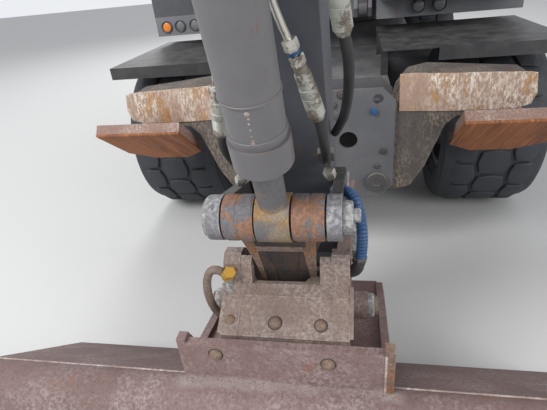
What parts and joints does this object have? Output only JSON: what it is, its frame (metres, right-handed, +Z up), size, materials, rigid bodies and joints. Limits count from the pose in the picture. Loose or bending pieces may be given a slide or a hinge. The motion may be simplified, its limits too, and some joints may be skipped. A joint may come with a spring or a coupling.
{
  "type": "wheeled excavator",
  "caption": "Wheeled excavator with slewing upper structure and cab, two-piece boom, stick, quick coupler and wide grading bucket, stabiliser legs and a dozer blade.",
  "frame": {"origin": "middle of the whole machine on the ground", "axes": "+X towards the bucket, +Y towards the cab's side, +Z up"},
  "size_m": [6.3994, 2.54, 3.7955],
  "materials": {
    "tyre": "dusty black rubber",
    "rim_paint": "satin grey paint",
    "glass": "tinted safety glass",
    "seat": "dark seat cloth",
    "plastic": "black plastic",
    "rod_steel": "hard chromed rods",
    "worn_leg": "worn paint over rusty steel",
    "rusty_steel": "brown rusty steel",
    "arm_paint": "grey paint with dirt",
    "chassis_paint": "grey paint with dirt",
    "body_paint": "yellow paint",
    "cast": "dark cast iron"
  },
  "bodies": {
    "root": {"chassis_frame": "chassis_paint", "slew_ring_lower": "cast", "rear_axle": "cast", "steer_axle": "cast", "driveline": "cast", "mudguards": "plastic", "steps": "chassis_paint"},
    "upper": {"slew_ring_upper": "cast", "deck": "chassis_paint", "counterweight": "chassis_paint", "housing": "body_paint", "engine": "cast", "tank_box": "chassis_paint", "cab_frame": "chassis_paint", "cab_glass": "glass", "seat": "seat", "console": "plastic"},
    "cab_door": {"cab_door": "chassis_paint", "door_glass": "glass"},
    "hood": {"hood": "body_paint"},
    "side_door_left": {"side_door_left": "body_paint"},
    "side_door_right": {"side_door_right": "body_paint"},
    "blade": {"blade": "chassis_paint"},
    "blade_barrels": {"blade_barrels": "arm_paint"},
    "blade_rods": {"blade_rods": "rod_steel"},
    "boom_base": {"boom_base": "arm_paint"},
    "boom_barrel": {"boom_barrels": "arm_paint"},
    "boom_rod": {"boom_rods": "rod_steel"},
    "boom_upper": {"boom_upper": "arm_paint"},
    "adjust_barrel": {"adjust_barrel": "arm_paint"},
    "adjust_rod": {"adjust_rod": "rod_steel"},
    "stick": {"stick": "arm_paint"},
    "stick_barrel": {"stick_barrel": "arm_paint"},
    "stick_rod": {"stick_rod": "rod_steel"},
    "bucket_barrel": {"bucket_barrel": "arm_paint"},
    "bucket_rod": {"bucket_rod": "rod_steel"},
    "tipping_links": {"tipping_links": "rusty_steel"},
    "h_link": {"h_link": "rusty_steel"},
    "tool": {"coupler": "rusty_steel", "bucket": "rusty_steel"},
    "knuckle_left": {"knuckle_left": "cast"},
    "wheel_rear_left": {"tyre_rear_left": "tyre", "rim_rear_left": "rim_paint"},
    "wheel_steer_left": {"tyre_steer_left": "tyre", "rim_steer_left": "rim_paint"},
    "leg_left": {"leg_left": "worn_leg"},
    "yoke_left": {"yoke_left": "rusty_steel"},
    "pad_left": {"pad_left": "rusty_steel"},
    "leg_barrel_left": {"leg_barrel_left": "arm_paint"},
    "leg_rod_left": {"leg_rod_left": "rod_steel"},
    "knuckle_right": {"knuckle_right": "cast"},
    "wheel_rear_right": {"tyre_rear_right": "tyre", "rim_rear_right": "rim_paint"},
    "wheel_steer_right": {"tyre_steer_right": "tyre", "rim_steer_right": "rim_paint"},
    "leg_right": {"leg_right": "worn_leg"},
    "yoke_right": {"yoke_right": "rusty_steel"},
    "pad_right": {"pad_right": "rusty_steel"},
    "leg_barrel_right": {"leg_barrel_right": "arm_paint"},
    "leg_rod_right": {"leg_rod_right": "rod_steel"}
  },
  "joints": [
    {"name": "wheel_rear_left", "type": "hinge", "parent": "root", "child": "wheel_rear_left", "pos_m": [0.56131, 0.98, 0.53], "axis": [0, 1, 0], "continuous": true},
    {"name": "steer_left", "type": "hinge", "parent": "root", "child": "knuckle_left", "pos_m": [-2.23869, 0.83, 0.53], "axis": [0, 0, 1], "range_deg": [-28, 28]},
    {"name": "wheel_steer_left", "type": "hinge", "parent": "knuckle_left", "child": "wheel_steer_left", "pos_m": [-2.23869, 0.98, 0.53], "axis": [0, 1, 0], "continuous": true},
    {"name": "wheel_rear_right", "type": "hinge", "parent": "root", "child": "wheel_rear_right", "pos_m": [0.56131, -0.98, 0.53], "axis": [0, 1, 0], "continuous": true},
    {"name": "steer_right", "type": "hinge", "parent": "root", "child": "knuckle_right", "pos_m": [-2.23869, -0.83, 0.53], "axis": [0, 0, 1], "range_deg": [-28, 28]},
    {"name": "wheel_steer_right", "type": "hinge", "parent": "knuckle_right", "child": "wheel_steer_right", "pos_m": [-2.23869, -0.98, 0.53], "axis": [0, 1, 0], "continuous": true},
    {"name": "leg_left", "type": "hinge", "parent": "root", "child": "leg_left", "pos_m": [1.36131, 0.3, 0.54], "axis": [-1, 0, 0], "range_deg": [0, 60]},
    {"name": "yoke_left", "type": "hinge", "parent": "leg_left", "child": "yoke_left", "pos_m": [1.36131, 0.89, 0.93], "axis": [-1, 0, 0], "range_deg": [-61, 1]},
    {"name": "pad_left", "type": "hinge", "parent": "yoke_left", "child": "pad_left", "pos_m": [1.36131, 0.89, 0.825], "axis": [0, 1, 0], "range_deg": [-1, 38]},
    {"name": "leg_barrel_left", "type": "hinge", "parent": "root", "child": "leg_barrel_left", "pos_m": [1.36131, -0.12, 0.9], "axis": [-1, 0, 0], "range_deg": [-1, 20.22]},
    {"name": "leg_rod_left", "type": "slide", "parent": "leg_barrel_left", "child": "leg_rod_left", "axis": [0, 1, 0], "range_m": [-0.002, 0.32193]},
    {"name": "leg_right", "type": "hinge", "parent": "root", "child": "leg_right", "pos_m": [1.36131, -0.3, 0.54], "axis": [1, 0, 0], "range_deg": [0, 60]},
    {"name": "yoke_right", "type": "hinge", "parent": "leg_right", "child": "yoke_right", "pos_m": [1.36131, -0.89, 0.93], "axis": [1, 0, 0], "range_deg": [-61, 1]},
    {"name": "pad_right", "type": "hinge", "parent": "yoke_right", "child": "pad_right", "pos_m": [1.36131, -0.89, 0.825], "axis": [0, 1, 0], "range_deg": [-1, 38]},
    {"name": "leg_barrel_right", "type": "hinge", "parent": "root", "child": "leg_barrel_right", "pos_m": [1.36131, 0.12, 0.9], "axis": [1, 0, 0], "range_deg": [-1, 20.22]},
    {"name": "leg_rod_right", "type": "slide", "parent": "leg_barrel_right", "child": "leg_rod_right", "axis": [0, -1, 0], "range_m": [-0.002, 0.32193]},
    {"name": "blade_lift", "type": "hinge", "parent": "root", "child": "blade", "pos_m": [-2.48869, 0, 0.6], "axis": [0, -1, 0], "range_deg": [0, 29]},
    {"name": "blade_barrels", "type": "hinge", "parent": "root", "child": "blade_barrels", "pos_m": [-2.83869, 0, 1.01], "axis": [0, -1, 0], "range_deg": [-1, 15.11]},
    {"name": "blade_rods", "type": "slide", "parent": "blade_barrels", "child": "blade_rods", "axis": [-0.3162, 0, -0.9487], "range_m": [-0.002, 0.22102]},
    {"name": "slew", "type": "hinge", "parent": "root", "child": "upper", "pos_m": [-0.83869, 0, 1.125], "axis": [0, 0, 1], "continuous": true},
    {"name": "cab_door", "type": "hinge", "parent": "upper", "child": "cab_door", "pos_m": [-0.63869, 1.254, 1.5], "axis": [0, 0, -1], "range_deg": [-150, 0]},
    {"name": "hood_lid", "type": "hinge", "parent": "upper", "child": "hood", "pos_m": [-1.09369, 0, 2.171], "axis": [0, 1, 0], "range_deg": [0, 65]},
    {"name": "side_door_left", "type": "hinge", "parent": "upper", "child": "side_door_left", "pos_m": [-1.13169, 1.245, 1.5], "axis": [0, 0, -1], "range_deg": [0, 110]},
    {"name": "side_door_right", "type": "hinge", "parent": "upper", "child": "side_door_right", "pos_m": [-1.13169, -1.245, 1.5], "axis": [0, 0, 1], "range_deg": [0, 110]},
    {"name": "boom_lift", "type": "hinge", "parent": "upper", "child": "boom_base", "pos_m": [-0.53869, 0, 1.8], "axis": [0, -1, 0], "range_deg": [-20, 32]},
    {"name": "boom_barrel", "type": "hinge", "parent": "upper", "child": "boom_barrel", "pos_m": [0.16131, 0, 1.24], "axis": [0, -1, 0], "range_deg": [-14.47, 22.55]},
    {"name": "boom_rod", "type": "slide", "parent": "boom_barrel", "child": "boom_rod", "axis": [0.1741, 0, 0.9847], "range_m": [-0.25905, 0.41329]},
    {"name": "boom_adjust", "type": "hinge", "parent": "boom_base", "child": "boom_upper", "pos_m": [1.0601, 0, 3.38315], "axis": [0, -1, 0], "range_deg": [-8, 55]},
    {"name": "adjust_barrel", "type": "hinge", "parent": "boom_base", "child": "adjust_barrel", "pos_m": [-0.35186, 0, 2.4072], "axis": [0, -1, 0], "range_deg": [-1.59, 5.07]},
    {"name": "adjust_rod", "type": "slide", "parent": "adjust_barrel", "child": "adjust_rod", "axis": [0.7293, 0, 0.6842], "range_m": [-0.29951, 0.04527]},
    {"name": "stick_swing", "type": "hinge", "parent": "boom_upper", "child": "stick", "pos_m": [2.91139, 0, 2.77059], "axis": [0, 1, 0], "range_deg": [-75, 12]},
    {"name": "stick_barrel", "type": "hinge", "parent": "boom_upper", "child": "stick_barrel", "pos_m": [1.40746, 0, 3.60528], "axis": [0, -1, 0], "range_deg": [-6.73, 1.92]},
    {"name": "stick_rod", "type": "slide", "parent": "stick_barrel", "child": "stick_rod", "axis": [0.9666, 0, -0.2564], "range_m": [-0.51579, 0.08421]},
    {"name": "bucket_tilt", "type": "hinge", "parent": "stick", "child": "tool", "pos_m": [2.05131, 0, 0.53], "axis": [0, -1, 0], "range_deg": [-100, 10]},
    {"name": "tipping_links", "type": "hinge", "parent": "stick", "child": "tipping_links", "pos_m": [2.20616, 0, 0.87759], "axis": [0, -1, 0], "range_deg": [-103.83, 11.28]},
    {"name": "h_link", "type": "hinge", "parent": "tipping_links", "child": "h_link", "pos_m": [2.62156, 0, 0.99985], "axis": [0, -1, 0], "range_deg": [-10.29, 93.86]},
    {"name": "bucket_barrel", "type": "hinge", "parent": "stick", "child": "bucket_barrel", "pos_m": [3.0592, 0, 2.36038], "axis": [0, -1, 0], "range_deg": [-2.46, 1.15]},
    {"name": "bucket_rod", "type": "slide", "parent": "bucket_barrel", "child": "bucket_rod", "axis": [-0.3062, 0, -0.952], "range_m": [-0.07233, 0.70526]}
  ],
  "couplings": [
    {"joint": "steer_right", "follows": "steer_left", "ratio": 1},
    {"joint": "yoke_left", "follows": "leg_left", "ratio": -1},
    {"joint": "pad_left", "follows": "leg_left", "ratio": 0.61667},
    {"joint": "leg_barrel_left", "follows": "leg_left", "ratio": 0.32034},
    {"joint": "leg_rod_left", "follows": "leg_left", "m_per_rad": 0.30551},
    {"joint": "yoke_right", "follows": "leg_right", "ratio": -1},
    {"joint": "pad_right", "follows": "leg_right", "ratio": 0.61667},
    {"joint": "leg_barrel_right", "follows": "leg_right", "ratio": 0.32034},
    {"joint": "leg_rod_right", "follows": "leg_right", "m_per_rad": 0.30551},
    {"joint": "blade_barrels", "follows": "blade_lift", "ratio": 0.48657},
    {"joint": "blade_rods", "follows": "blade_lift", "m_per_rad": 0.43271},
    {"joint": "boom_barrel", "follows": "boom_lift", "ratio": 0.67344},
    {"joint": "boom_rod", "follows": "boom_lift", "m_per_rad": 0.73641},
    {"joint": "adjust_barrel", "follows": "boom_adjust", "ratio": 0.073958},
    {"joint": "adjust_rod", "follows": "boom_adjust", "m_per_rad": -0.30993},
    {"joint": "stick_barrel", "follows": "stick_swing", "ratio": 0.076387},
    {"joint": "stick_rod", "follows": "stick_swing", "m_per_rad": 0.39251},
    {"joint": "tipping_links", "follows": "bucket_tilt", "ratio": 1.0283},
    {"joint": "h_link", "follows": "bucket_tilt", "ratio": -0.92861},
    {"joint": "bucket_barrel", "follows": "bucket_tilt", "ratio": 0.014624},
    {"joint": "bucket_rod", "follows": "bucket_tilt", "m_per_rad": -0.40294}
  ]
}
